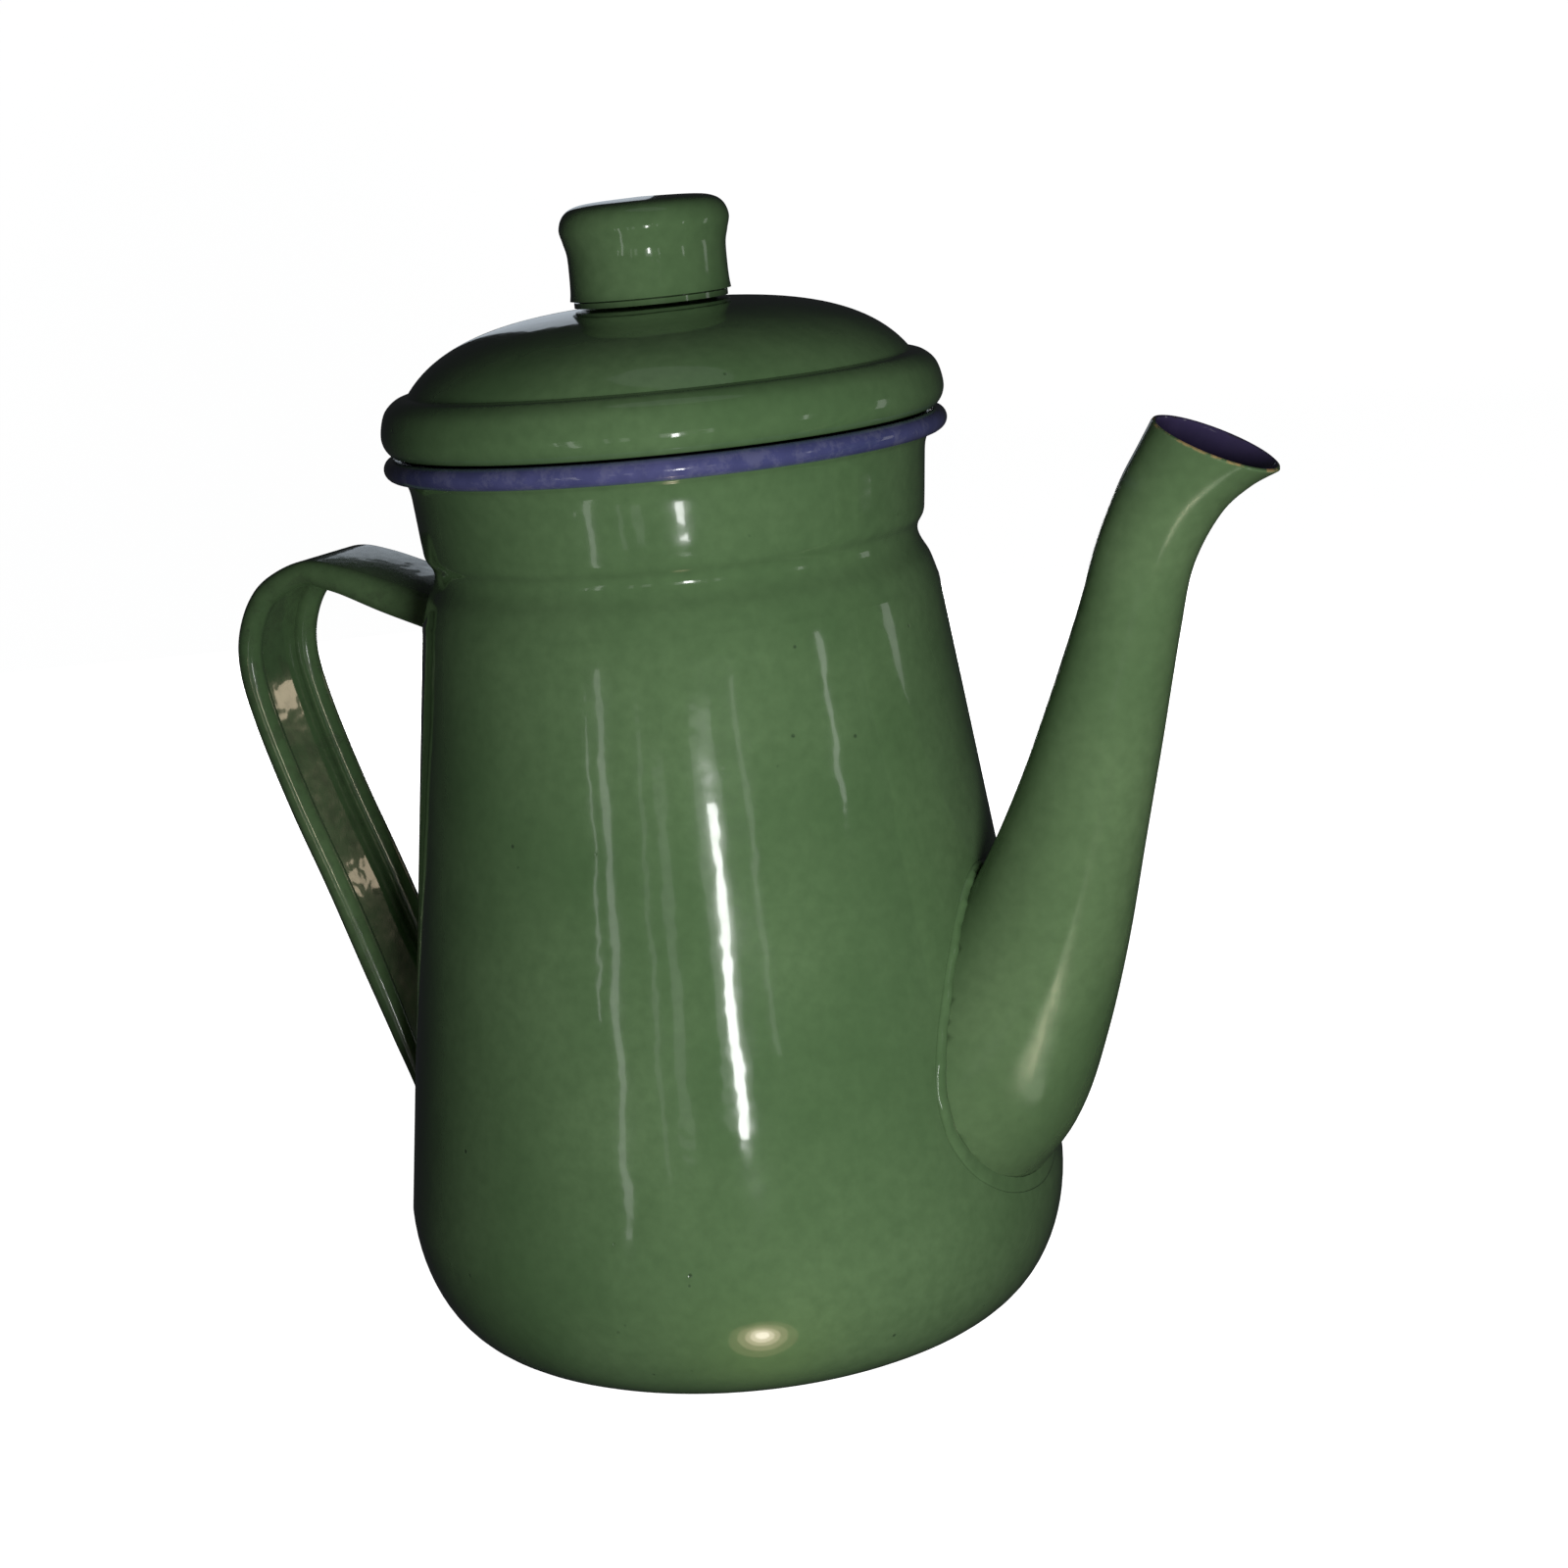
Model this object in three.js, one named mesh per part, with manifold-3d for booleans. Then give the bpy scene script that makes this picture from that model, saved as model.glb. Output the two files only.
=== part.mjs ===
// Enamelled steel coffee pot: a tapering body on a rounded base, a long spout, a strap handle
// and a loose lid with a hollow knob.
// Millimetres, +Z up, +X towards the spout. The origin is the middle of the flat underside.
import * as THREE from "three";
import { mergeVertices } from "three/addons/utils/BufferGeometryUtils.js";
import Module from "manifold-3d";

const wasm = await Module();
wasm.setup();

// Sheet and clearances
const SHEET = 1; // steel with its enamel on both faces
const GAP = 0.3; // between two pieces that are welded or seated together
const LID_PLAY = 2.0; // the lid's collar to the inside of the neck, all round

// Body, from the bottom up
const FOOT_RADIUS = 50; // the flat the pot stands on
const BASE_RADIUS = 65.2; // the widest place
const BASE_HEIGHT = 25.4; // where the rounded base ends and the straight wall starts
const WALL_TOP_RADIUS = 49.7;
const WALL_TOP = 141.6;
const SHOULDER_HEIGHT = 3.8; // from the top of the wall to where the groove turns in
const GROOVE_DEPTH = 3.8; // below the shoulder's radius
const GROOVE_HALF = 5.4; // half the height the groove takes up
const NECK_RADIUS = 49;
const NECK_HEIGHT = 15.6;
const NECK_LEAN = 0.9; // the neck is this much narrower at its foot
const BASE_LAP = 6; // how far the base pan reaches up inside the wall
const BODY_SEGMENTS = 48;

// Rim
const BEAD_RADIUS = 2.05; // of the rolled edge's own section
const BEAD_OVERHANG = 4.5; // outermost point beyond the neck

// Lid
const LID_OVERHANG = 4.3; // outermost point beyond the neck
const LID_ROLL_HEIGHT = 10.8; // rounded band, from the rim to the crease
const LID_ROLL_WIDTH = 5.6; // from its outermost point in to the crease
const DOME_HEIGHT = 12.8;
const LID_VENT_RADIUS = 4; // hole under the knob
const COLLAR_DEPTH = 13; // how far the collar hangs below the rim

// Knob
const KNOB_RADIUS = 16;
const KNOB_WAIST_RADIUS = 14.9;
const KNOB_LIP_RADIUS = 15.2;
const KNOB_HEIGHT = 18;
const KNOB_STAND = 1.6; // bare neck between the lid and the knob's lip
const NECK_SPIGOT = 5; // how far the neck reaches up inside the knob
const KNOB_SEGMENTS = 28;

// Spout
const FLANGE_WIDTH = 2.4; // welding edge round the spout's root
const SPOUT_POINTS = 30; // round each ring
const SPOUT_STEPS = 2; // rings from one station to the next
const STRAINER_HOLE = 6; // diameter
const STRAINER_PITCH = 10;
const STRAINER_HEIGHT = 54.4; // middle of the holes above the underside
const STRAINER_ROWS = 5;

// Handle
const STRAP_WIDTH = 25;
const STRAP_SHEET = 1.4;
const STRAP_EDGE = 5; // diameter of the rolled edges
const STRAP_STEPS = 3; // rings from one station to the next

const ENAMEL_GREEN = 0x3f6b3c;
const ENAMEL_BLUE = 0x3b3a86;
const ENAMEL_DARK = 0x1e2a2a;

const SHOULDER_TOP = WALL_TOP + SHOULDER_HEIGHT;
const GROOVE_Z = SHOULDER_TOP + GROOVE_HALF;
const NECK_FOOT = GROOVE_Z + GROOVE_HALF / 2;
const NECK_TOP = NECK_FOOT + NECK_HEIGHT;
const BEAD_MID_RADIUS = NECK_RADIUS + BEAD_OVERHANG - BEAD_RADIUS;
const BEAD_Z = NECK_TOP + GAP + BEAD_RADIUS;
const RIM_Z = BEAD_Z + BEAD_RADIUS;
const LID_Z = RIM_Z + GAP;
const LID_RADIUS = NECK_RADIUS + LID_OVERHANG;
const CREASE_RADIUS = LID_RADIUS - LID_ROLL_WIDTH;
const CREASE_Z = LID_Z + LID_ROLL_HEIGHT;
const DOME_Z = CREASE_Z + DOME_HEIGHT;
const COLLAR_RADIUS = NECK_RADIUS - NECK_LEAN - SHEET - LID_PLAY;
const KNOB_Z = DOME_Z + KNOB_STAND;

// Radius of the straight wall's outside, carried on past its ends.
function wallRadius(z) {
  const slope = (BASE_RADIUS - WALL_TOP_RADIUS) / (WALL_TOP - BASE_HEIGHT);
  return BASE_RADIUS - (z - BASE_HEIGHT) * slope;
}

const at = (x, y) => new THREE.Vector2(x, y);

// Points of an ellipse's arc about (cx, cy), from one angle to another in degrees.
function arc(cx, cy, rx, ry, from, to, steps) {
  const points = [];
  for (let i = 0; i <= steps; i++) {
    const a = THREE.MathUtils.degToRad(from + ((to - from) * i) / steps);
    points.push(at(cx + rx * Math.cos(a), cy + ry * Math.sin(a)));
  }
  return points;
}

// Points of a smooth curve through the given ones.
function smooth(points, steps) {
  return new THREE.SplineCurve(points).getPoints(steps * (points.length - 1));
}

// The outline of a sheet whose outer face is the given line, the sheet's thickness lying to its left.
function sheetOutline(line, thickness) {
  const back = line.map((p, i) => {
    const a = line[Math.max(i - 1, 0)];
    const b = line[Math.min(i + 1, line.length - 1)];
    const run = b.clone().sub(a).normalize();
    return at(p.x - run.y * thickness, p.y + run.x * thickness);
  });
  return [...line, ...back.reverse()];
}

// A closed outline of radius and height, turned about Z.
function turned(outline, segments) {
  const geometry = new THREE.LatheGeometry([...outline, outline[0]], segments);
  return geometry.rotateX(Math.PI / 2);
}

function toSolid(geometry) {
  const bare = geometry.clone();
  bare.deleteAttribute("normal");
  bare.deleteAttribute("uv");
  const merged = mergeVertices(bare, 1e-4);
  const mesh = new wasm.Mesh({
    numProp: 3,
    vertProperties: new Float32Array(merged.attributes.position.array),
    triVerts: new Uint32Array(merged.index.array),
  });
  return new wasm.Manifold(mesh);
}

function toGeometry(solid) {
  const mesh = solid.getMesh();
  const geometry = new THREE.BufferGeometry();
  geometry.setAttribute("position", new THREE.BufferAttribute(mesh.vertProperties, 3));
  geometry.setIndex(new THREE.BufferAttribute(mesh.triVerts, 1));
  geometry.computeVertexNormals();
  return geometry;
}

// A closed skin over a row of rings with the same number of points, its two ends covered.
function skinned(rings, outline) {
  const count = rings[0].length;
  const positions = rings.flat().flatMap((p) => [p.x, p.y, p.z]);
  const index = [];
  for (let r = 0; r < rings.length - 1; r++) {
    for (let i = 0; i < count; i++) {
      const a = r * count + i;
      const b = r * count + ((i + 1) % count);
      index.push(a, b, b + count, a, b + count, a + count);
    }
  }
  const last = (rings.length - 1) * count;
  for (const [a, b, c] of THREE.ShapeUtils.triangulateShape(outline, [])) {
    index.push(a, c, b, last + a, last + b, last + c);
  }
  const geometry = new THREE.BufferGeometry();
  geometry.setAttribute("position", new THREE.Float32BufferAttribute(positions, 3));
  geometry.setIndex(index);
  return geometry;
}

// Outside of the wall, shoulder, groove and neck, from the base pan's edge to the top.
function wallLine() {
  const grooveRadius = WALL_TOP_RADIUS - GROOVE_DEPTH;
  const throat = smooth(
    [
      at(WALL_TOP_RADIUS - 0.3, SHOULDER_TOP - 1.6),
      at(WALL_TOP_RADIUS - 1.4, SHOULDER_TOP + 1.4),
      at(grooveRadius + 0.5, GROOVE_Z - 1.2),
      at(grooveRadius + 0.6, GROOVE_Z + 1.1),
      at(NECK_RADIUS - NECK_LEAN - 0.3, NECK_FOOT + 0.6),
      at(NECK_RADIUS - NECK_LEAN, NECK_FOOT + 2.6),
    ],
    1,
  );
  return [
    at(wallRadius(BASE_HEIGHT + GAP), BASE_HEIGHT + GAP),
    at(WALL_TOP_RADIUS, WALL_TOP),
    ...throat,
    at(NECK_RADIUS, NECK_TOP - 2.6),
    at(NECK_RADIUS + 0.4, NECK_TOP - 1.1),
    at(NECK_RADIUS + 1.2, NECK_TOP - GAP),
  ];
}

// Everything inside the body's outer surface, grown by the given amount.
function bodyBlock(grow) {
  const line = wallLine().map((p) => at(p.x + grow, p.y));
  const top = line[line.length - 1].y;
  return toSolid(turned([at(0, 0), at(line[0].x, 0), ...line, at(0, top)], BODY_SEGMENTS));
}

// Rows of holes through the wall behind the spout.
function strainerHoles() {
  const holes = [];
  const reach = 20 * SHEET; // well past both faces of the wall
  const drill = new THREE.CylinderGeometry(STRAINER_HOLE / 2, STRAINER_HOLE / 2, reach, 10);
  drill.rotateZ(Math.PI / 2);
  const rowPitch = STRAINER_PITCH * Math.sin(Math.PI / 3);
  for (let row = 0; row < STRAINER_ROWS; row++) {
    const inRow = row % 2 ? 4 : 3;
    for (let i = 0; i < inRow; i++) {
      const y = (i - (inRow - 1) / 2) * STRAINER_PITCH;
      const z = STRAINER_HEIGHT + (row - (STRAINER_ROWS - 1) / 2) * rowPitch;
      const x = Math.sqrt(wallRadius(z) ** 2 - y ** 2);
      holes.push(toSolid(drill.clone().translate(x, y, z)));
    }
  }
  return wasm.Manifold.union(holes);
}

function bodyWall() {
  const shell = toSolid(turned(sheetOutline(wallLine(), SHEET), BODY_SEGMENTS));
  return toGeometry(shell.subtract(strainerHoles()));
}

function basePan() {
  const corner = (inset) =>
    arc(FOOT_RADIUS, BASE_HEIGHT, BASE_RADIUS - FOOT_RADIUS - inset, BASE_HEIGHT - inset, -90, 0, 7);
  const lapTop = BASE_HEIGHT + BASE_LAP;
  const lap = (z) => wallRadius(z) - SHEET - GAP;
  return turned(
    [
      at(0, 0),
      ...corner(0),
      at(lap(BASE_HEIGHT), BASE_HEIGHT),
      at(lap(lapTop), lapTop),
      at(lap(lapTop) - SHEET, lapTop),
      at(lap(BASE_HEIGHT) - SHEET, BASE_HEIGHT - SHEET),
      ...corner(SHEET).reverse().slice(1),
      at(0, SHEET),
    ],
    BODY_SEGMENTS,
  );
}

function rimBead() {
  const section = arc(BEAD_MID_RADIUS, BEAD_Z, BEAD_RADIUS, BEAD_RADIUS, 0, 315, 7);
  return turned(section, BODY_SEGMENTS);
}

// Stations up the spout: height as a share of the rim's height, middle's distance from the
// wall's line, lean of the ring in degrees, half depth and half width.
const SPOUT_STATIONS = [
  [0.27, -19.5, 52, 28, 29],
  [0.314, -7.2, 42, 23.7, 24.8],
  [0.381, 3.2, 31, 18.9, 19.8],
  [0.465, 12.7, 25, 15.4, 15.8],
  [0.564, 21.5, 20, 12.8, 13],
  [0.67, 30.1, 18, 11, 11.1],
  [0.78, 38.6, 17.5, 9.4, 9.5],
  [0.85, 44, 18.5, 8.9, 9],
  [0.905, 50.4, 21, 9.4, 9.5],
  [0.937, 55.9, 24, 10.5, 10.1],
  [0.957, 60.3, 25.7, 12, 10.8],
];

// The spout's solid outline, each ring grown by the given amount; the ends run on by the same
// amount each way along the spout when it is to cut right through.
function spoutSolid(grow, runOn) {
  const rows = SPOUT_STATIONS.map(([height, off, lean, depth, width]) => {
    const z = height * RIM_Z;
    return [wallRadius(z) + off, z, lean, depth + grow, width + grow];
  });
  const rail = rows[0].map((_, k) => new THREE.SplineCurve(rows.map((row, i) => at(i, row[k]))));
  const steps = (rows.length - 1) * SPOUT_STEPS;
  const rings = [];
  for (let i = 0; i <= steps; i++) {
    const [x, z, lean, depth, width] = rail.map((curve) => curve.getPoint(i / steps).y);
    const tilt = THREE.MathUtils.degToRad(lean);
    const past = i === 0 ? -runOn : i === steps ? runOn : 0;
    const middle = new THREE.Vector3(x + past * Math.sin(tilt), 0, z + past * Math.cos(tilt));
    rings.push(
      arc(0, 0, depth, width, 0, 360 - 360 / SPOUT_POINTS, SPOUT_POINTS - 1).map(
        (p) =>
          new THREE.Vector3(
            middle.x + p.x * Math.cos(tilt),
            p.y,
            middle.z - p.x * Math.sin(tilt),
          ),
      ),
    );
  }
  return toSolid(skinned(rings, arc(0, 0, 1, 1, 0, 360 - 360 / SPOUT_POINTS, SPOUT_POINTS - 1)));
}

function spoutTube() {
  const flange = spoutSolid(FLANGE_WIDTH, 0).intersect(bodyBlock(GAP + SHEET));
  const tube = spoutSolid(0, 0).add(flange);
  return toGeometry(tube.subtract(bodyBlock(GAP)).subtract(spoutSolid(-SHEET, 1)));
}

// Stations along the handle from its top end: height as a share of the rim's height, distance
// of the sheet's outer face from the wall's line, and depth of the rolled edges.
const STRAP_STATIONS = [
  [0.835, -0.5, 6.6],
  [0.852, 10.2, 6.4],
  [0.869, 21.5, 5.6],
  [0.876, 31, STRAP_EDGE],
  [0.851, 40.6, STRAP_EDGE],
  [0.806, 45.2, STRAP_EDGE],
  [0.751, 45.7, STRAP_EDGE],
  [0.68, 41.7, STRAP_EDGE],
  [0.58, 33.7, STRAP_EDGE],
  [0.484, 25, STRAP_EDGE],
  [0.386, 16.6, STRAP_EDGE],
  [0.29, 8, 4],
  [0.235, 3.4, 2.4],
  [0.198, 1.8, 1.6],
];

// Half the strap's section, from the middle of its outer face round the rolled edge and back.
function strapSection(edge) {
  const roll = edge / 2;
  const y = STRAP_WIDTH / 2 - roll;
  const floor = Math.min(STRAP_SHEET, edge - 0.1);
  const start = THREE.MathUtils.radToDeg(Math.asin((floor - roll) / roll));
  const rim = arc(y, roll, roll, roll, 180 - start, -90, 9);
  const half = rim.reverse();
  return [...half, ...half.map((p) => at(-p.x, p.y)).reverse()];
}

function handleStrap() {
  const path = new THREE.SplineCurve(
    STRAP_STATIONS.map(([height, off]) => at(-wallRadius(height * RIM_Z) - off, height * RIM_Z)),
  );
  const edges = new THREE.SplineCurve(STRAP_STATIONS.map(([, , edge], i) => at(i, edge)));
  const steps = (STRAP_STATIONS.length - 1) * STRAP_STEPS;
  const rings = [];
  for (let i = 0; i <= steps; i++) {
    const t = i / steps;
    const middle = path.getPoint(t);
    const run = path.getTangent(t);
    // Near both ends the strap is bent across its width to lie on the round body.
    const hug = Math.max(0, 1 - Math.min(t, 1 - t) / 0.16);
    rings.push(
      strapSection(edges.getPoint(t).y).map((p) => {
        const round = wallRadius(middle.y);
        const depth = p.y + hug * (round - Math.sqrt(round ** 2 - p.x ** 2));
        return new THREE.Vector3(middle.x - run.y * depth, p.x, middle.y + run.x * depth);
      }),
    );
  }
  const strap = toSolid(skinned(rings, strapSection(STRAP_EDGE)));
  return toGeometry(strap.subtract(bodyBlock(GAP)));
}

function lidShell() {
  const rollMid = LID_Z + LID_ROLL_HEIGHT * 0.4;
  const roll = smooth(
    [
      at(LID_RADIUS - 3.4, LID_Z + 0.6),
      at(LID_RADIUS - 1.9, LID_Z + 0.1),
      at(LID_RADIUS - 0.4, LID_Z + 1.8),
      at(LID_RADIUS, rollMid),
      at(LID_RADIUS - 1, LID_Z + LID_ROLL_HEIGHT * 0.74),
      at(LID_RADIUS - 3.2, LID_Z + LID_ROLL_HEIGHT * 0.94),
      at(CREASE_RADIUS, CREASE_Z),
    ],
    1,
  );
  const dome = new THREE.CubicBezierCurve(
    at(CREASE_RADIUS, CREASE_Z),
    at(CREASE_RADIUS - 5.5, CREASE_Z + DOME_HEIGHT * 0.6),
    at(CREASE_RADIUS - 17, DOME_Z + 0.4),
    at(LID_VENT_RADIUS, DOME_Z),
  ).getPoints(6);
  return turned(sheetOutline([...roll, ...dome.slice(1)], SHEET), BODY_SEGMENTS);
}

function lidCollar() {
  const outer = COLLAR_RADIUS;
  const inner = outer - SHEET;
  const foot = RIM_Z - COLLAR_DEPTH;
  const top = CREASE_Z - SHEET + 0.2;
  return turned(
    [
      at(inner - 0.8, foot),
      at(outer - 0.6, foot),
      at(outer, foot + 1.2),
      at(outer, top),
      at(inner, top),
      at(inner, foot + 1.4),
    ],
    BODY_SEGMENTS,
  );
}

function knobNeck() {
  const spigot = KNOB_WAIST_RADIUS - SHEET - GAP;
  const shoulder = spigot + 1;
  const foot = DOME_Z + GAP;
  const bore = spigot - SHEET;
  return turned(
    [
      at(bore, foot),
      at(shoulder, foot),
      at(shoulder, KNOB_Z - GAP),
      at(spigot, KNOB_Z - GAP),
      at(spigot, KNOB_Z + NECK_SPIGOT),
      at(bore, KNOB_Z + NECK_SPIGOT),
    ],
    KNOB_SEGMENTS,
  );
}

function knobCap() {
  const top = KNOB_Z + KNOB_HEIGHT;
  const side = smooth(
    [
      at(KNOB_LIP_RADIUS, KNOB_Z),
      at(KNOB_LIP_RADIUS - 0.2, KNOB_Z + 1.6),
      at(KNOB_WAIST_RADIUS, KNOB_Z + 4.4),
      at(KNOB_WAIST_RADIUS, KNOB_Z + KNOB_HEIGHT * 0.46),
      at((KNOB_WAIST_RADIUS + KNOB_RADIUS) / 2, KNOB_Z + KNOB_HEIGHT * 0.6),
      at(KNOB_RADIUS, KNOB_Z + KNOB_HEIGHT * 0.74),
      at(KNOB_RADIUS - 0.9, KNOB_Z + KNOB_HEIGHT * 0.87),
      at(KNOB_RADIUS - 3, top - 0.9),
      at(KNOB_RADIUS - 7, top - 0.3),
      at(0, top),
    ],
    1,
  );
  const outline = sheetOutline(side, SHEET);
  for (const p of outline) p.x = Math.max(p.x, 0);
  return turned(outline, KNOB_SEGMENTS);
}

const pot = new THREE.Group();

function addPiece(name, geometry, color) {
  const enamel = new THREE.MeshStandardMaterial({ color, roughness: 0.18, metalness: 0 });
  const mesh = new THREE.Mesh(geometry, enamel);
  mesh.name = name;
  pot.add(mesh);
}

addPiece("body_wall", bodyWall(), ENAMEL_GREEN);
addPiece("base_pan", basePan(), ENAMEL_GREEN);
addPiece("rim_bead", rimBead(), ENAMEL_BLUE);
addPiece("spout_tube", spoutTube(), ENAMEL_GREEN);
addPiece("handle_strap", handleStrap(), ENAMEL_GREEN);
addPiece("lid_shell", lidShell(), ENAMEL_GREEN);
addPiece("lid_collar", lidCollar(), ENAMEL_DARK);
addPiece("knob_neck", knobNeck(), ENAMEL_GREEN);
addPiece("knob_cap", knobCap(), ENAMEL_GREEN);

export default pot;
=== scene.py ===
# Enamelled steel coffee pot with a loose lid, on a pale studio floor. Metres, +Z up, +X towards
# the spout; the origin is the middle of the flat underside.
import math
import bmesh
import bpy
from mathutils import Matrix, Vector


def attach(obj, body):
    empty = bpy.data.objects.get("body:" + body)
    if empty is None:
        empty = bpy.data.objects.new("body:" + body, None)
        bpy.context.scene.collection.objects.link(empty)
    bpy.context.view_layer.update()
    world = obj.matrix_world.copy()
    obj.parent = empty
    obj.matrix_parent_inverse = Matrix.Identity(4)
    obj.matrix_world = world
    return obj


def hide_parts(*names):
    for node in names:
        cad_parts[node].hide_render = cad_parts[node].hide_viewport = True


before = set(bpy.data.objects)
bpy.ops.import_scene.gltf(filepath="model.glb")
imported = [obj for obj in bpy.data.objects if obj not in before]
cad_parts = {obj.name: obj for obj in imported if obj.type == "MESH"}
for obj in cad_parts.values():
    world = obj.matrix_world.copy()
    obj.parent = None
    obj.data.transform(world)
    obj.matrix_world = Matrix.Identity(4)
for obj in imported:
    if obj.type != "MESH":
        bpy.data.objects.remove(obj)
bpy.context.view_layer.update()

# --- Camera: a little above the lid, looking across the spout side, and tipped a few degrees. Its
# shift moves the whole pot back to the middle of the frame.
CAMERA_TURN = math.radians(27)
CAMERA_RISE = math.radians(12.74)
CAMERA_TIP = math.radians(-5.64)
CAMERA_REACH = 0.560
CAMERA_LENS = 65.8
CAMERA_SHIFT = (0.0528, 0.0138)
LOOK_AT = Vector((0, 0, 0.100))

back = Vector((
    math.sin(CAMERA_TURN) * math.cos(CAMERA_RISE),
    -math.cos(CAMERA_TURN) * math.cos(CAMERA_RISE),
    math.sin(CAMERA_RISE),
))
right = Vector((math.cos(CAMERA_TURN), math.sin(CAMERA_TURN), 0))
lens = bpy.data.cameras.new("camera")
lens.sensor_width = 36
lens.lens = CAMERA_LENS
lens.shift_x, lens.shift_y = CAMERA_SHIFT
lens.clip_start = 0.01
camera = bpy.data.objects.new("camera", lens)
level = Matrix((right, back.cross(right), back)).transposed()
tipped = level @ Matrix.Rotation(CAMERA_TIP, 3, "Z")
camera.matrix_world = Matrix.Translation(LOOK_AT + back * CAMERA_REACH) @ tipped.to_4x4()
bpy.context.scene.collection.objects.link(camera)
bpy.context.scene.camera = camera

# --- Studio: a pale floor that sweeps up into a round wall, a dim room for the gloss to mirror, a
# soft light beside the camera and one behind, and narrow strips that draw the upright streaks.
FLOOR_RADIUS = 1.6
SWEEP_RADIUS = 0.7
WALL_HEIGHT = 2.2
FLOOR_DROP = 0.0002
FLOOR_GLOW = 0.98
ROOM_GLOW = 0.018


def nodes_of(material):
    """The material's node tree, and the shader in it."""
    material.use_nodes = True
    tree = material.node_tree
    return tree, tree.nodes["Principled BSDF"]


bm = bmesh.new()
sweep = [(0, 0), (FLOOR_RADIUS, 0)]
sweep += [
    (
        FLOOR_RADIUS + SWEEP_RADIUS * math.sin(math.radians(a)),
        SWEEP_RADIUS * (1 - math.cos(math.radians(a))),
    )
    for a in range(10, 91, 10)
]
sweep.append((FLOOR_RADIUS + SWEEP_RADIUS, WALL_HEIGHT))
profile = [bm.verts.new((r, 0, z - FLOOR_DROP)) for r, z in sweep]
edges = [bm.edges.new(pair) for pair in zip(profile, profile[1:])]
bmesh.ops.spin(
    bm, geom=profile + edges, cent=(0, 0, 0), axis=(0, 0, 1), angle=math.tau, steps=96
)
bmesh.ops.remove_doubles(bm, verts=bm.verts, dist=1e-5)
floor_mesh = bpy.data.meshes.new("studio_floor")
bm.to_mesh(floor_mesh)
bm.free()
floor_mesh.polygons.foreach_set("use_smooth", [True] * len(floor_mesh.polygons))
paper = bpy.data.materials.new("pale_paper")
_, shader = nodes_of(paper)
shader.inputs["Base Color"].default_value = (0.80, 0.80, 0.79, 1)
shader.inputs["Roughness"].default_value = 0.9
shader.inputs["Specular IOR Level"].default_value = 0.1
shader.inputs["Emission Color"].default_value = (1, 1, 1, 1)
shader.inputs["Emission Strength"].default_value = FLOOR_GLOW
paper.cycles.emission_sampling = "NONE"
floor_mesh.materials.append(paper)
studio_floor = bpy.data.objects.new("studio_floor", floor_mesh)
studio_floor.visible_glossy = False
studio_floor.visible_diffuse = False
bpy.context.scene.collection.objects.link(studio_floor)

world = bpy.data.worlds.new("studio")
world.use_nodes = True
room = world.node_tree.nodes["Background"]
room.inputs["Color"].default_value = (0.80, 0.86, 0.92, 1)
room.inputs["Strength"].default_value = ROOM_GLOW
bpy.context.scene.world = world
bpy.context.scene.view_settings.view_transform = "Standard"


def studio_light(name, turn, reach, low, high, wide, watts, colour=(1, 1, 1), mirrored=True):
    """An upright area light, so many degrees to the right of the camera as seen from the pot. One
    that isn't mirrored faces the pot's middle and leaves no highlight."""
    data = bpy.data.lights.new(name, "AREA")
    data.shape = "RECTANGLE"
    data.size = wide
    data.size_y = high - low
    data.energy = watts
    data.color = colour
    light = bpy.data.objects.new(name, data)
    angle = CAMERA_TURN + math.radians(turn)
    spot = Vector((reach * math.sin(angle), -reach * math.cos(angle), (low + high) / 2))
    facing = Vector((spot.x, spot.y, 0)) if mirrored else spot - LOOK_AT
    aim = facing.to_track_quat("Z", "Y").to_matrix().to_4x4()
    light.matrix_world = Matrix.Translation(spot) @ aim
    light.visible_camera = False
    light.visible_glossy = mirrored
    bpy.context.scene.collection.objects.link(light)


studio_light("front_softbox", 11, 0.5, 0.06, 0.20, 0.14, 2.35, mirrored=False)
studio_light("back_softbox", 180, 0.9, 0.02, 0.28, 0.30, 6.5, mirrored=False)
studio_light("back_strip", 176, 0.50, 0.030, 0.150, 0.030, 0.06)
studio_light("main_strip", 3.7, 0.50, 0.024, 0.132, 0.027, 0.16)
studio_light("wide_card", 3, 0.55, 0.030, 0.160, 0.090, 0.030)
studio_light("left_strip", -35, 0.34, 0.004, 0.160, 0.016, 0.012)
studio_light("left_thin_strip", -41, 0.40, 0.060, 0.150, 0.006, 0.003)
studio_light("middle_strip", -22, 0.50, 0.010, 0.160, 0.014, 0.004)
studio_light("right_faint_strip", 17, 0.50, 0.050, 0.170, 0.016, 0.005)
studio_light("right_edge_strip", 92, 0.40, 0.080, 0.200, 0.040, 0.012)
studio_light("left_wide_strip", -15, 0.50, 0.020, 0.140, 0.034, 0.007)
studio_light("right_strip", 54, 0.36, 0.110, 0.185, 0.014, 0.006)
studio_light("handle_strip", -43, 0.36, 0.060, 0.140, 0.016, 0.014, colour=(1, 0.85, 0.55))
studio_light("handle_card", -11, 0.39, 0.140, 0.200, 0.022, 0.055, colour=(1, 0.88, 0.66))
studio_light("handle_side_card", 128, 0.45, 0.161, 0.187, 0.026, 0.0125, colour=(1, 0.80, 0.58))
studio_light("window_card", -176, 0.9, 0.20, 0.52, 0.14, 0.08, colour=(0.80, 0.90, 1))

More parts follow.
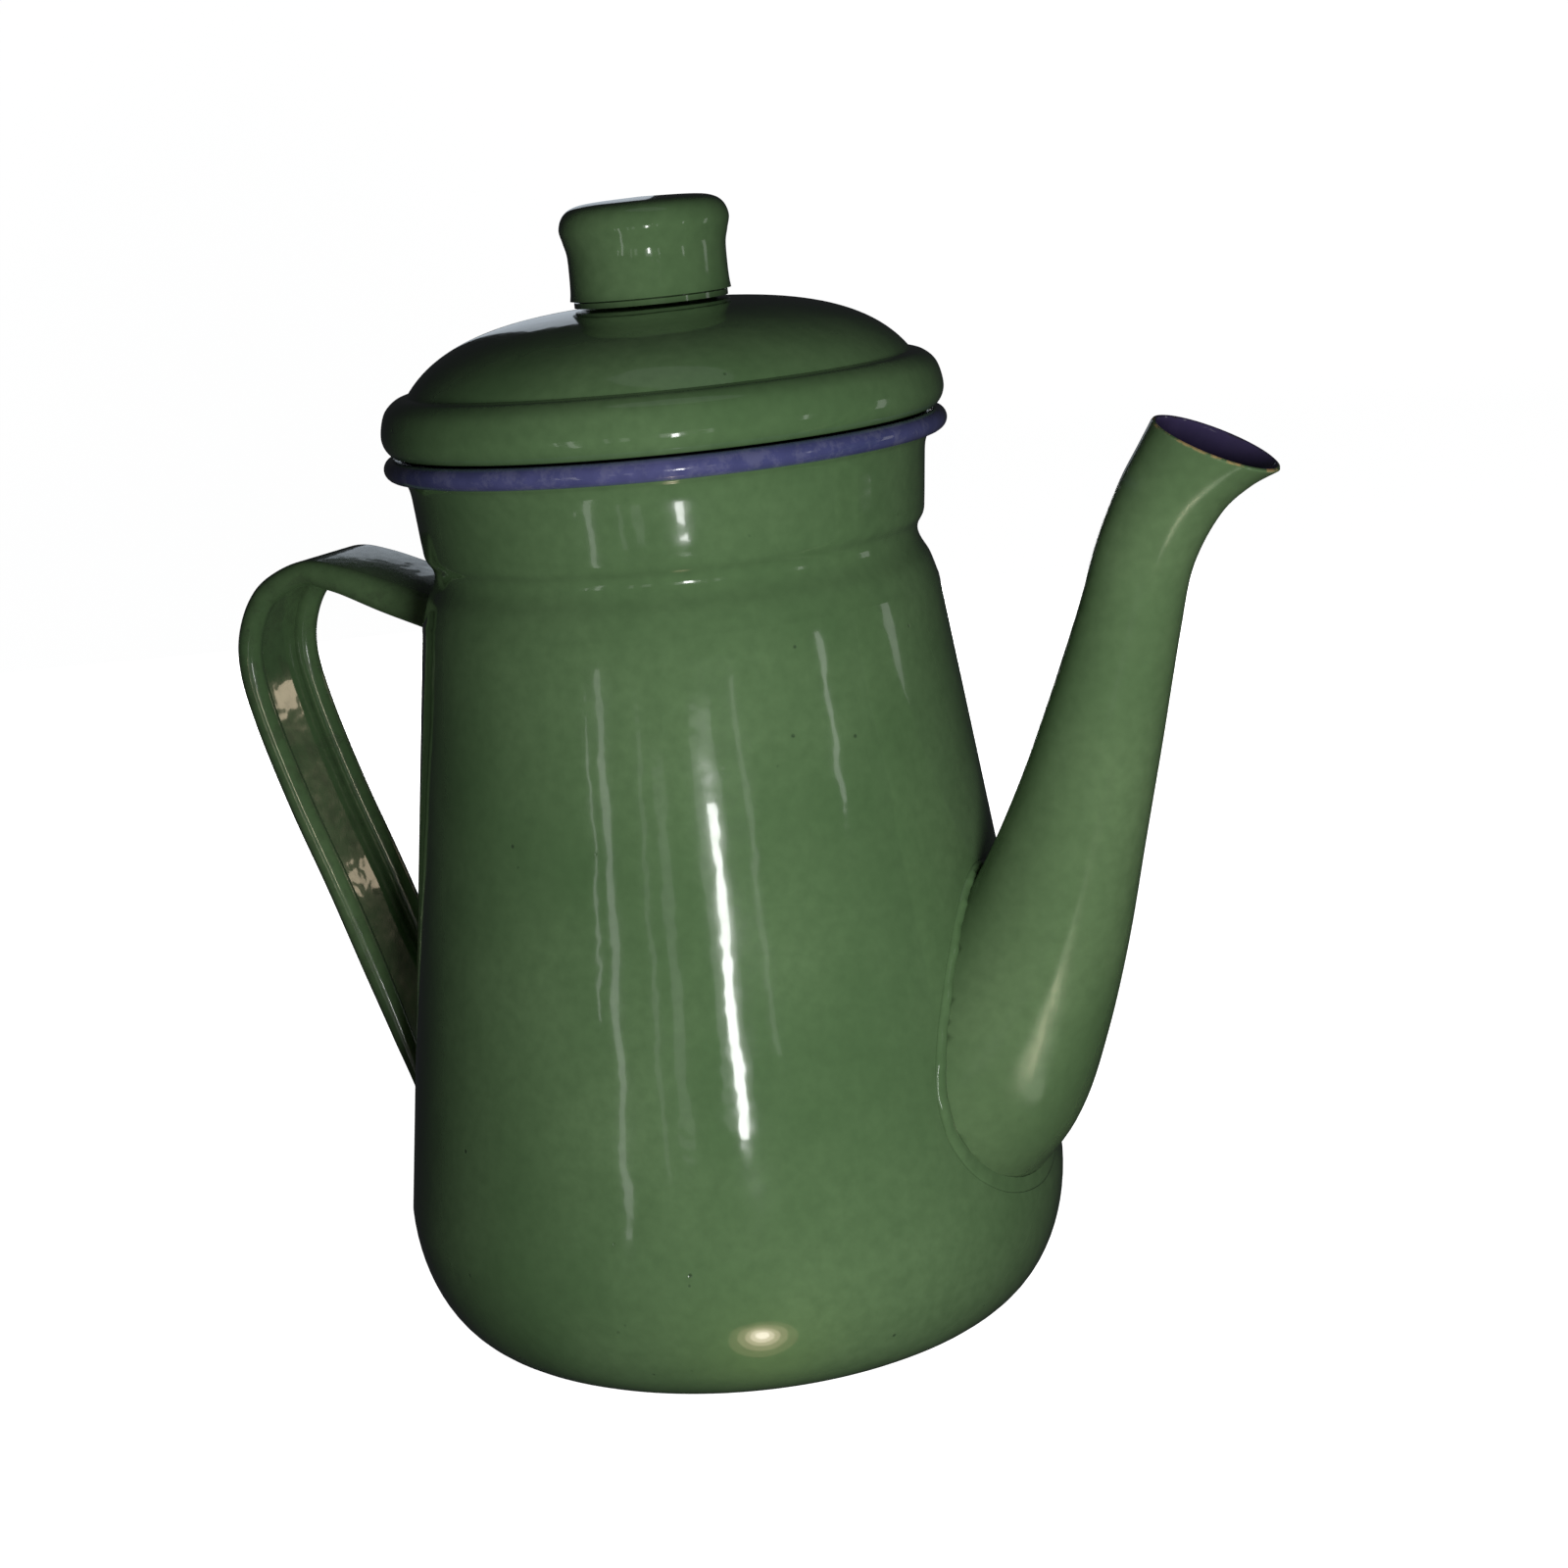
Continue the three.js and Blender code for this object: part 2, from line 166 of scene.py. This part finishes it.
# Reflectors that lie flat: a nest of warm discs on the floor that glows up into the base, two slim
# ones that glow into the spout, and a dim card overhead for the lid's crease and the shoulder.
GLOW_AT = (0.037, -0.067)
SPOUT_GLOW_AT = (0.182, -0.096)
SPOUT_GLOW_ALONG = (0.56, -0.83)
GLOW_TOP = 0.0012
GLOW_STEP = 0.0002
# Each disc's width, brightness and share of blue.
GLOW_DISCS = (
    (0.004, 5.0, 0.86),
    (0.007, 3.4, 0.74),
    (0.010, 2.4, 0.62),
    (0.014, 1.4, 0.52),
    (0.019, 0.7, 0.42),
)
flat = [
    (
        f"base_glow_{n}", (*GLOW_AT, GLOW_TOP - GLOW_STEP * n), (1, 0), across, across,
        strength * math.pi * math.pi / 4 * across ** 2, (1, 0.5 + warm / 2, warm),
    )
    for n, (across, strength, warm) in enumerate(GLOW_DISCS)
]
flat += [
    (
        "spout_reflector", (*SPOUT_GLOW_AT, 0.001), SPOUT_GLOW_ALONG, 0.009, 0.110,
        0.022, (1, 0.86, 0.60),
    ),
    (
        "spout_glow", (*SPOUT_GLOW_AT, 0.0008), SPOUT_GLOW_ALONG, 0.030, 0.200,
        0.030, (0.9, 1, 0.75),
    ),
    ("overhead_card", (0.130, -0.120, 0.900), (1, 0), 0.300, 0.500, 0.07, (0.9, 0.95, 1)),
]
for name, place, toward, across, along, watts, colour in flat:
    data = bpy.data.lights.new(name, "AREA")
    data.shape = "ELLIPSE"
    data.size = along
    data.size_y = across
    data.energy = watts
    data.color = colour
    reflector = bpy.data.objects.new(name, data)
    reflector.location = place
    shines_up = place[2] < LOOK_AT.z
    turn = math.atan2(toward[1], toward[0])
    reflector.rotation_euler = (math.pi if shines_up else 0, 0, turn)
    reflector.visible_camera = False
    bpy.context.scene.collection.objects.link(reflector)


def light_only(piece, *names):
    """These lights fall on the piece alone, and nothing else shades it from them."""
    for name in names:
        group = bpy.data.collections.new(name + "_falls_on")
        group.objects.link(piece)
        linking = bpy.data.objects[name].light_linking
        linking.receiver_collection = linking.blocker_collection = group


def light_all_but(piece, *names):
    """These lights miss the piece."""
    for name in names:
        group = bpy.data.collections.new(name + "_misses")
        group.objects.link(piece)
        group.collection_objects[0].light_linking.link_state = "EXCLUDE"
        bpy.data.objects[name].light_linking.receiver_collection = group


# --- Body: a tapering drawn wall on a rounded base, with a shoulder band, a rolled groove and an
# upright neck. Wall and base are welded sheet; one coat of green glass enamel hides the weld.
MM = 0.001
SHEET = 1.0
FOOT_RADIUS = 50.0
BASE_RADIUS = 65.2
BASE_HEIGHT = 25.4
WALL_TOP_RADIUS = 49.7
WALL_TOP = 141.6
WALL_SLOPE = (BASE_RADIUS - WALL_TOP_RADIUS) / (WALL_TOP - BASE_HEIGHT)
ROUND = 240


def wall_radius(z):
    """The wall's outer radius at a height, the straight taper carried on past both ends."""
    return BASE_RADIUS - (z - BASE_HEIGHT) * WALL_SLOPE


def through(points, steps):
    """A smooth line through the points, which may have any number of values each, with so many
    steps from one to the next."""
    rows = [tuple(map(float, p)) for p in points]
    line = []
    for i in range(len(rows) - 1):
        near = [rows[min(max(i + k, 0), len(rows) - 1)] for k in (-1, 0, 1, 2)]
        for step in range(steps):
            t = step / steps
            line.append(tuple(
                q + t * (
                    (r - p) / 2
                    + t * (p - 2.5 * q + 2 * r - s / 2 + t * (1.5 * (q - r) + (s - p) / 2))
                )
                for p, q, r, s in zip(*near)
            ))
    line.append(rows[-1])
    return line


def sheet_outline(line):
    """A sheet's closed outline, out along the given line and back a sheet's thickness inside it,
    and which of its points are on the inside."""
    inner = []
    for i, (r, z) in enumerate(line):
        a, b = line[max(i - 1, 0)], line[min(i + 1, len(line) - 1)]
        run = math.hypot(b[0] - a[0], b[1] - a[1])
        inner.append((r - (b[1] - a[1]) / run * SHEET, z + (b[0] - a[0]) / run * SHEET))
    return line + inner[::-1], [False] * len(line) + [True] * len(line)


def finished(name, bm, materials, sharp=40):
    """A smooth-shaded object from the mesh, with the given materials."""
    bmesh.ops.recalc_face_normals(bm, faces=bm.faces)
    mesh = bpy.data.meshes.new(name)
    bm.to_mesh(mesh)
    bm.free()
    mesh.polygons.foreach_set("use_smooth", [True] * len(mesh.polygons))
    mesh.set_sharp_from_angle(angle=math.radians(sharp))
    for material in materials:
        mesh.materials.append(material)
    piece = bpy.data.objects.new(name, mesh)
    bpy.context.scene.collection.objects.link(piece)
    return piece


def turned(name, outline, materials, inside=None, worn=None, segments=ROUND, sharp=40):
    """A closed outline of radius and height in millimetres, turned about Z. Points told as inside
    take the second material; worn gives each point its share of edge wear, which on the rim bead
    also places painted glints."""
    bm = bmesh.new()
    wear = bm.verts.layers.float.new("wear")
    rings = []
    for k, (r, z) in enumerate(outline):
        ring = []
        for s in range(segments if r > 1e-6 else 1):
            a = math.tau * s / segments
            v = bm.verts.new((r * MM * math.cos(a), r * MM * math.sin(a), z * MM))
            v[wear] = worn[k] if worn else 0.0
            ring.append(v)
        rings.append(ring)
    count = len(rings)
    for k in range(count):
        one, two = rings[k], rings[(k + 1) % count]
        if len(one) == len(two) == 1:
            continue
        slot = 1 if inside and inside[k] and inside[(k + 1) % count] else 0
        for s in range(segments):
            t = s + 1
            corners = [one[s % len(one)], one[t % len(one)], two[t % len(two)], two[s % len(two)]]
            corners = list(dict.fromkeys(corners))
            if len(corners) > 2:
                bm.faces.new(corners).material_index = slot
    return finished(name, bm, materials, sharp)


def enamel(
    name, deep, light, pit_and_glint_colour, gloss=0.09, coat=0.6, peel=0.5, chip_and_glint_colour=(0.020, 0.017, 0.015)
):
    """Glass enamel fired on steel: two depths of one colour, pinholes, soft waves and orange peel,
    with a chip colour, dark iron unless given, where the edges are worn. Pinholes and chips given
    a pale colour are painted glints as well as pits and wear."""
    material = bpy.data.materials.new(name)
    tree, shader = nodes_of(material)
    new, link = tree.nodes.new, tree.links.new

    place = new("ShaderNodeTexCoord")

    def noise(scale, detail, rough=0.5):
        node = new("ShaderNodeTexNoise")
        node.inputs["Scale"].default_value = scale
        node.inputs["Detail"].default_value = detail
        node.inputs["Roughness"].default_value = rough
        link(place.outputs["Object"], node.inputs["Vector"])
        return node.outputs["Fac"]

    def ramp(value, low, high, start=0.0, end=1.0):
        node = new("ShaderNodeMapRange")
        node.inputs["From Min"].default_value = low
        node.inputs["From Max"].default_value = high
        node.inputs["To Min"].default_value = start
        node.inputs["To Max"].default_value = end
        link(value, node.inputs["Value"])
        return node.outputs["Result"]

    def blended(share, one, two):
        node = new("ShaderNodeMix")
        node.data_type = "RGBA"
        link(share, node.inputs[0])
        for socket, colour in ((node.inputs[6], one), (node.inputs[7], two)):
            if isinstance(colour, tuple):
                socket.default_value = (*colour, 1)
            else:
                link(colour, socket)
        return node.outputs[2]

    def times(a, b):
        node = new("ShaderNodeMath")
        node.operation = "MULTIPLY"
        link(a, node.inputs[0])
        if isinstance(b, float):
            node.inputs[1].default_value = b
        else:
            link(b, node.inputs[1])
        return node.outputs[0]

    cloud = ramp(noise(26, 4), 0.35, 0.65)
    grain = ramp(noise(420, 2), 0.3, 0.75, 0.0, 0.35)
    colour = blended(cloud, deep, light)
    colour = blended(grain, colour, tuple(c * 0.72 for c in deep))

    # Pinholes in their own colour. On the blue bead the pale pinholes are painted glints.
    pits = new("ShaderNodeTexVoronoi")
    pits.inputs["Scale"].default_value = 210
    link(place.outputs["Object"], pits.inputs["Vector"])
    pit = times(ramp(pits.outputs["Distance"], 0.10, 0.05), ramp(noise(90, 1), 0.62, 0.66))
    colour = blended(pit, colour, pit_and_glint_colour)

    # Chips along the worn edges in the chip colour. On the blue bead the pale chips are painted
    # glints.
    edge = new("ShaderNodeAttribute")
    edge.attribute_name = "wear"
    chips_and_glints = times(edge.outputs["Fac"], ramp(noise(240, 5, 0.7), 0.50, 0.60))
    colour = blended(chips_and_glints, colour, chip_and_glint_colour)
    link(colour, shader.inputs["Base Color"])

    smear = ramp(noise(55, 5, 0.65), 0.45, 0.75, gloss, gloss + 0.10)
    rough = new("ShaderNodeMath")
    rough.operation = "MULTIPLY_ADD"
    link(chips_and_glints, rough.inputs[0])
    rough.inputs[1].default_value = 0.4
    link(smear, rough.inputs[2])
    link(rough.outputs[0], shader.inputs["Roughness"])
    shader.inputs["Coat Weight"].default_value = coat
    shader.inputs["Coat Roughness"].default_value = 0.04
    shader.inputs["IOR"].default_value = 1.5

    wave = new("ShaderNodeBump")
    wave.inputs["Strength"].default_value = 1.0
    wave.inputs["Distance"].default_value = 0.00022
    link(noise(70, 1), wave.inputs["Height"])
    skin = new("ShaderNodeBump")
    skin.inputs["Strength"].default_value = peel
    skin.inputs["Distance"].default_value = 0.00003
    link(noise(430, 0), skin.inputs["Height"])
    link(wave.outputs["Normal"], skin.inputs["Normal"])
    pocks = new("ShaderNodeBump")
    pocks.invert = True
    pocks.inputs["Strength"].default_value = 0.7
    pocks.inputs["Distance"].default_value = 0.0001
    link(pit, pocks.inputs["Height"])
    link(skin.outputs["Normal"], pocks.inputs["Normal"])
    link(pocks.outputs["Normal"], shader.inputs["Normal"])
    link(pocks.outputs["Normal"], shader.inputs["Coat Normal"])
    return material


green_enamel = enamel(
    "green_enamel", (0.065, 0.122, 0.050), (0.092, 0.157, 0.070), (0.038, 0.068, 0.032)
)
inside_enamel = enamel(
    "inside_enamel", (0.030, 0.024, 0.060), (0.050, 0.038, 0.095), (0.10, 0.10, 0.12)
)

corner = [
    (
        FOOT_RADIUS + (BASE_RADIUS - FOOT_RADIUS) * math.sin(math.radians(a)),
        BASE_HEIGHT * (1 - math.cos(math.radians(a))),
    )
    for a in range(0, 90, 5)
]
WALL_STEPS = 24
heights = [BASE_HEIGHT + (WALL_TOP - BASE_HEIGHT) * i / WALL_STEPS for i in range(WALL_STEPS + 1)]
wall = [(wall_radius(z), z) for z in heights]
throat = through(
    [
        wall[-1], (49.35, 142.7), (48.95, 144.1), (48.25, 146.1), (46.9, 148.6), (46.35, 150.5),
        (46.6, 152.1), (47.75, 154.1), (48.1, 156.6), (48.4, 160), (48.7, 163.5), (49, 166.5),
        (49.5, 168.2), (50.2, 169.2), (51.0, 170.4),
    ],
    6,
)
outer = [(0, 0), (16, 0), (32, 0), (44, 0)] + corner + wall[:-1] + throat
outline, inside = sheet_outline(outer)
outline[len(outer)] = (outline[len(outer)][0], outer[-1][1])
outline[-1] = (0, SHEET)
pot_body = turned("pot_body", outline, [green_enamel, inside_enamel], inside)
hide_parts("body_wall", "base_pan")
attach(pot_body, "pot")

# --- Rim bead: the neck's edge is rolled outwards into a round bead and dipped in blue enamel,
# so the lid closes on a hard, smooth edge.
BEAD_MID_RADIUS = 51.45
BEAD_Z = 171.45
BEAD_RADIUS = 2.05
BEAD_STEPS = 28

# Blue enamel for the bead: its pale pinholes and pale chips are painted glints as well as pits and
# wear.
blue_enamel = enamel(
    "blue_enamel", (0.040, 0.046, 0.125), (0.080, 0.082, 0.195), (0.45, 0.45, 0.55), peel=1.0,
    chip_and_glint_colour=(0.24, 0.24, 0.32),
)
section = [
    (
        BEAD_MID_RADIUS + BEAD_RADIUS * math.cos(math.tau * i / BEAD_STEPS),
        BEAD_Z + BEAD_RADIUS * math.sin(math.tau * i / BEAD_STEPS),
    )
    for i in range(BEAD_STEPS)
]
# The bead's outer half is marked for chips in a pale colour: edge wear, and painted glints.
bead_wear_and_glints = [0.15 if r > BEAD_MID_RADIUS else 0 for r, _ in section]
rim_bead = turned("rim_bead", section, [blue_enamel], worn=bead_wear_and_glints)
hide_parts("rim_bead")
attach(rim_bead, "pot")

# --- Spout: a long tapering tube drawn and bent from sheet, flared at its mouth, its green painted a
# little lighter than the body's as painted light, with a pale orange-gold edge along its lip. Its
# root opens on a strainer drilled in the wall.
RIM_Z = 173.5
SPOUT_ROUND = 64
SPOUT_STEPS = 8
# Each station's height as a share of the rim's, distance out from the wall's line, lean in
# degrees, and half its depth and width.
SPOUT_STATIONS = [
    (0.27, -19.5, 52, 28, 29),
    (0.314, -7.2, 42, 23.7, 24.8),
    (0.381, 3.2, 31, 18.9, 19.8),
    (0.465, 12.7, 25, 15.4, 15.8),
    (0.564, 21.5, 20, 12.8, 13),
    (0.67, 30.1, 18, 11, 11.1),
    (0.78, 38.6, 17.5, 9.4, 9.5),
    (0.85, 44, 18.5, 8.9, 9),
    (0.905, 50.4, 21, 9.4, 9.5),
    (0.937, 55.9, 24, 10.5, 10.1),
    (0.957, 60.3, 25.7, 12, 10.8),
]
stations = through(
    [
        (wall_radius(share * RIM_Z) + off, share * RIM_Z, lean, deep, wide)
        for share, off, lean, deep, wide in SPOUT_STATIONS
    ],
    SPOUT_STEPS,
)


def spout_point(station, angle, grow):
    """A point on the ring at a station, the ring grown by so many millimetres."""
    x, z, lean, deep, wide = station
    lean = math.radians(lean)
    p = (deep + grow) * math.cos(angle)
    y = (wide + grow) * math.sin(angle)
    return Vector((x + p * math.cos(lean), y, z - p * math.sin(lean))) * MM


def lofted(name, rings, materials, inside=None, closed=False, worn=None, sharp=40):
    """A skin over a row of rings of points; rings told as inside take the second material, and
    worn gives the edge wear of a ring's point."""
    bm = bmesh.new()
    wear = bm.verts.layers.float.new("wear")
    rows = []
    for k, ring in enumerate(rings):
        row = [bm.verts.new(p) for p in ring]
        for i, v in enumerate(row):
            v[wear] = worn(k, i) if worn else 0.0
        rows.append(row)
    for k in range(len(rows) if closed else len(rows) - 1):
        one, two = rows[k], rows[(k + 1) % len(rows)]
        for i in range(len(one)):
            j = (i + 1) % len(one)
            face = bm.faces.new((one[i], one[j], two[j], two[i]))
            face.material_index = 1 if inside and inside[k] else 0
    if not closed:
        bm.faces.new(rows[0])
        bm.faces.new(rows[-1])
    return finished(name, bm, materials, sharp)


angles = [math.tau * i / SPOUT_ROUND for i in range(SPOUT_ROUND)]
skin_rings = [[spout_point(s, a, 0) for a in angles] for s in stations]
bore_rings = [[spout_point(s, a, -SHEET) for a in angles] for s in reversed(stations)]
lip = []
x, z, lean, deep, wide = stations[-1]
for turn in (math.pi / 4, math.pi / 2, math.pi * 3 / 4):
    swell = SHEET / 2 * math.sin(turn)
    grow = -SHEET / 2 + SHEET / 2 * math.cos(turn)
    tilt = math.radians(lean)
    over = (x + swell * math.sin(tilt), z + swell * math.cos(tilt), lean, deep, wide)
    lip.append([spout_point(over, a, grow) for a in angles])
rings = skin_rings + lip + bore_rings
dark_from = len(skin_rings) + len(lip) // 2
mouth = len(skin_rings) - 1
# The spout's green is painted a little lighter than the body's, though one coat covers both:
# painted light.
lit_spout_enamel = enamel(
    "lit_spout_enamel", (0.072, 0.128, 0.055), (0.100, 0.162, 0.075), (0.040, 0.070, 0.034),
    gloss=0.17, coat=0.10, chip_and_glint_colour=(0.42, 0.27, 0.12),
)
# The lip rings take the chip colour in patches: a pale orange-gold edge along the lip.
spout_tube = lofted(
    "spout_tube", rings, [lit_spout_enamel, inside_enamel],
    inside=[k >= dark_from for k in range(len(rings))], closed=True,
    worn=lambda k, i: 0.75 if mouth < k <= mouth + len(lip) else 0.0,
)


CORE_SINK = 0.4
CORE_FOOT = -20


def core():
    """Everything inside the body's wall as a plain solid, a little small, so that a piece cut off
    by it ends inside the wall's skin."""
    line = [(0, CORE_FOOT), (FOOT_RADIUS - CORE_SINK, CORE_FOOT)]
    line += [(r - CORE_SINK, z) for r, z in wall + throat[1:]]
    line.append((0, throat[-1][1]))
    return turned("core", line, [])


def cut_by(piece, cutter):
    """Takes the cutter's volume off the piece and throws the cutter away."""
    modifier = piece.modifiers.new("cut", "BOOLEAN")
    modifier.operation = "DIFFERENCE"
    modifier.solver = "EXACT"
    modifier.object = cutter
    bpy.context.view_layer.update()
    cut = piece.evaluated_get(bpy.context.evaluated_depsgraph_get())
    shape = bpy.data.meshes.new_from_object(cut)
    piece.modifiers.clear()
    shape.name = piece.name
    piece.data = shape
    bpy.data.objects.remove(cutter)


cut_by(spout_tube, core())
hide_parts("spout_tube")
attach(spout_tube, "pot")
light_only(spout_tube, "spout_reflector", "spout_glow")
light_all_but(
    spout_tube, "main_strip", "left_strip", "left_thin_strip", "middle_strip", "left_wide_strip"
)

# The strainer: staggered rows of holes, drilled through the body's wall behind the spout.
STRAINER_HOLE = 6.0
STRAINER_PITCH = 10.0
STRAINER_HEIGHT = 54.4
STRAINER_ROWS = 5
DRILL_LENGTH = 20 * SHEET
row_pitch = STRAINER_PITCH * math.sin(math.pi / 3)
hole_radius = STRAINER_HOLE / 2 * MM
bm = bmesh.new()
for row in range(STRAINER_ROWS):
    in_row = 4 if row % 2 else 3
    for i in range(in_row):
        y = (i - (in_row - 1) / 2) * STRAINER_PITCH
        z = STRAINER_HEIGHT + (row - (STRAINER_ROWS - 1) / 2) * row_pitch
        middle = Vector((math.sqrt(wall_radius(z) ** 2 - y ** 2), y, z)) * MM
        lying = Matrix.Translation(middle) @ Matrix.Rotation(math.pi / 2, 4, "Y")
        bmesh.ops.create_cone(
            bm, cap_ends=True, segments=24, radius1=hole_radius, radius2=hole_radius,
            depth=DRILL_LENGTH * MM, matrix=lying,
        )
cut_by(pot_body, finished("strainer_drills", bm, []))

# --- Spout weld: the bead of weld that joins the spout's root to the wall, lumpy at the sides and
# dressed almost flat underneath, under the body's own coat of green enamel.
WELD_HALF_WIDTH = 1.3
WELD_HEIGHT = 0.8
WELD_OUT = 0.75
WELD_STEPS = 144
WELD_ROUND = 12
WELD_DRESSED = 20


def root_point(angle, grow):
    """Where the spout's skin, grown by so much, comes out of the wall."""
    parts = 12
    for a, b in zip(stations, stations[1:]):
        for part in range(parts):
            station = [p + (q - p) * part / parts for p, q in zip(a, b)]
            point = spout_point(station, angle, grow)
            outside = math.hypot(point.x, point.y) >= wall_radius(point.z / MM) * MM
            if outside and point.x > 0:
                return point
    return point


def softened(points):
    """A closed row of points, each averaged with two on either side."""
    count = len(points)
    weights = ((-2, 1), (-1, 2), (0, 3), (1, 2), (2, 1))
    return [
        sum((points[(i + k) % count] * weight for k, weight in weights), Vector()) / 9
        for i in range(count)
    ]


middles = softened([
    root_point(math.tau * i / WELD_STEPS, WELD_OUT) for i in range(WELD_STEPS)
])
root_foot = min(middle.z for middle in middles)
weld = []
for i, middle in enumerate(middles):
    out = Vector((middle.x, middle.y, 0)).normalized()
    on_wall = out * wall_radius(middle.z / MM) * MM + Vector((0, 0, middle.z))
    normal = (out + Vector((0, 0, WALL_SLOPE))).normalized()
    run = (middles[(i + 1) % WELD_STEPS] - middles[i - 1]).normalized()
    side = normal.cross(run).normalized()
    full = min((middle.z - root_foot) / (WELD_DRESSED * MM), 1.0)
    lumps = 1 + 0.22 * math.sin(i * 0.9) + 0.18 * math.sin(i * 2.3 + 1)
    across = side * WELD_HALF_WIDTH * MM * (1.5 - 0.5 * full)
    upward = normal * WELD_HEIGHT * MM * (0.05 + 0.95 * full) * lumps
    turns = [math.tau * j / WELD_ROUND for j in range(WELD_ROUND)]
    weld.append([on_wall + across * math.cos(t) + upward * math.sin(t) for t in turns])
spout_weld = lofted("spout_weld", weld, [green_enamel], closed=True, sharp=180)
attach(spout_weld, "pot")

# --- Handle: one strip of sheet with both long edges rolled in towards the pot, bent to a bow and
# spot-welded to the shoulder and low on the wall before enamelling.
STRAP_WIDTH = 25.0
STRAP_SHEET = 1.4
STRAP_STEPS = 9
STRAP_HUG = 0.16
# Each station's height as a share of the rim's, distance out from the wall's line, and the
# diameter of the rolled edges.
STRAP_STATIONS = [
    (0.835, -0.5, 6.6),
    (0.852, 10.2, 6.4),
    (0.869, 21.5, 5.6),
    (0.876, 31, 5),
    (0.851, 40.6, 5),
    (0.806, 45.2, 5),
    (0.751, 45.7, 5),
    (0.68, 41.7, 5),
    (0.58, 33.7, 5),
    (0.484, 25, 5),
    (0.386, 16.6, 5),
    (0.29, 8, 4),
    (0.235, 3.4, 2.4),
    (0.198, 1.8, 1.6),
]


def strap_section(edge):
    """The strap's section: (across, in towards the pot), round both rolled edges."""
    roll = edge / 2
    y = STRAP_WIDTH / 2 - roll
    floor = min(STRAP_SHEET, edge - 0.1)
    start = math.degrees(math.asin((floor - roll) / roll))
    half = []
    for i in range(19):
        a = math.radians(-90 + (270 - start) * i / 18)
        half.append((y + roll * math.cos(a), roll + roll * math.sin(a)))
    across, depth = half[-1]
    half += [(across * share, depth) for share in (0.8, 0.4, 0)]
    return half + [(-across, depth) for across, depth in reversed(half[:-1])]


strap_line = through(
    [
        (-wall_radius(share * RIM_Z) - off, share * RIM_Z, edge)
        for share, off, edge in STRAP_STATIONS
    ],
    STRAP_STEPS,
)
rings = []
for k, (x, z, edge) in enumerate(strap_line):
    a, b = strap_line[max(k - 1, 0)], strap_line[min(k + 1, len(strap_line) - 1)]
    run = Vector((b[0] - a[0], 0, b[1] - a[1])).normalized()
    share = k / (len(strap_line) - 1)
    hug = max(0, 1 - min(share, 1 - share) / STRAP_HUG)
    ring = []
    for across, depth in strap_section(edge):
        radius = wall_radius(z)
        depth += hug * (radius - math.sqrt(radius ** 2 - across ** 2))
        ring.append(Vector((x - run.z * depth, across, z + run.x * depth)) * MM)
    rings.append(ring)
# The handle's green is painted darker than the body's coat, which covers it too: painted shade.
shaded_handle_enamel = enamel(
    "shaded_handle_enamel", (0.045, 0.086, 0.036), (0.066, 0.112, 0.050), (0.030, 0.050, 0.026),
    gloss=0.16, peel=1.0,
)
handle_strap = lofted("handle_strap", rings, [shaded_handle_enamel], sharp=50, worn=lambda k, i: 0.2)
cut_by(handle_strap, core())
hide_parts("handle_strap")
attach(handle_strap, "pot")
light_only(handle_strap, "handle_strip", "handle_card", "handle_side_card")

# --- Lid: pressed from one sheet, a round roll at its edge, a sharp crease and a low dome, green
# outside and dark inside.
LID_RADIUS = 53.3
CREASE = (47.7, 184.6)
DOME_Z = 197.4
DOME_STEPS = 30
roll = through(
    [
        (49.9, 174.4), (51.4, 173.9), (52.9, 175.6), (LID_RADIUS, 178.1), (52.3, 181.8),
        (50.1, 183.95), CREASE,
    ],
    7,
)
dome = []
for i in range(1, DOME_STEPS + 1):
    t = i / DOME_STEPS
    dome.append(tuple(
        a * (1 - t) ** 3 + 3 * b * t * (1 - t) ** 2 + 3 * c * t * t * (1 - t) + d * t ** 3
        for a, b, c, d in zip(CREASE, (42.2, 192.3), (30.7, 197.8), (4, DOME_Z))
    ))
outline, inside = sheet_outline(roll + dome)
lid_shell = turned("lid_shell", outline, [green_enamel, inside_enamel], inside)
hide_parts("lid_shell")
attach(lid_shell, "lid")

# --- Collar: a ring of sheet welded inside the lid, in the dark inside enamel, that drops into the
# neck and keeps the lid central.
COLLAR_RADIUS = 45.1
COLLAR_FOOT = 160.5
COLLAR_TOP = 183.8
collar_line = through(
    [
        (COLLAR_RADIUS - 0.6, COLLAR_FOOT), (COLLAR_RADIUS, COLLAR_FOOT + 1.2),
        (COLLAR_RADIUS, COLLAR_FOOT + 4),
    ],
    4,
) + [(COLLAR_RADIUS, COLLAR_TOP)]
outline, _ = sheet_outline(collar_line)
lid_collar = turned("lid_collar", outline, [inside_enamel])
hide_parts("lid_collar")
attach(lid_collar, "lid")

# --- Knob neck: a short flanged tube, welded to the dome, that stands the knob off it and reaches
# up into the knob's open foot. It has the body's green enamel.
knob_neck_line = [
    (12.5, 197.7), (14.5, 197.7), (14.5, 198.7), (13.5, 198.7), (13.5, 204), (12.5, 204)
]
knob_neck = turned("knob_neck", knob_neck_line, [green_enamel], segments=96)
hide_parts("knob_neck")
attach(knob_neck, "lid")

# --- Knob: a hollow cup spun from sheet, flat on top with a bulged rim, a waist and a small lip,
# pressed over its neck. Green enamel outside and dark inside.
knob_line = through(
    [
        (15.2, 199), (15.0, 200.6), (14.9, 203.4), (14.95, 207.3), (15.5, 209.8), (16, 212.3),
        (15.1, 214.7), (13, 216.1), (9, 216.7), (0, 217),
    ],
    7,
)
outline, inside = sheet_outline(knob_line)
outline[len(knob_line)] = (0, outline[len(knob_line)][1])
knob_cap = turned("knob_cap", outline, [green_enamel, inside_enamel], inside, segments=96)
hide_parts("knob_cap")
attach(knob_cap, "lid")
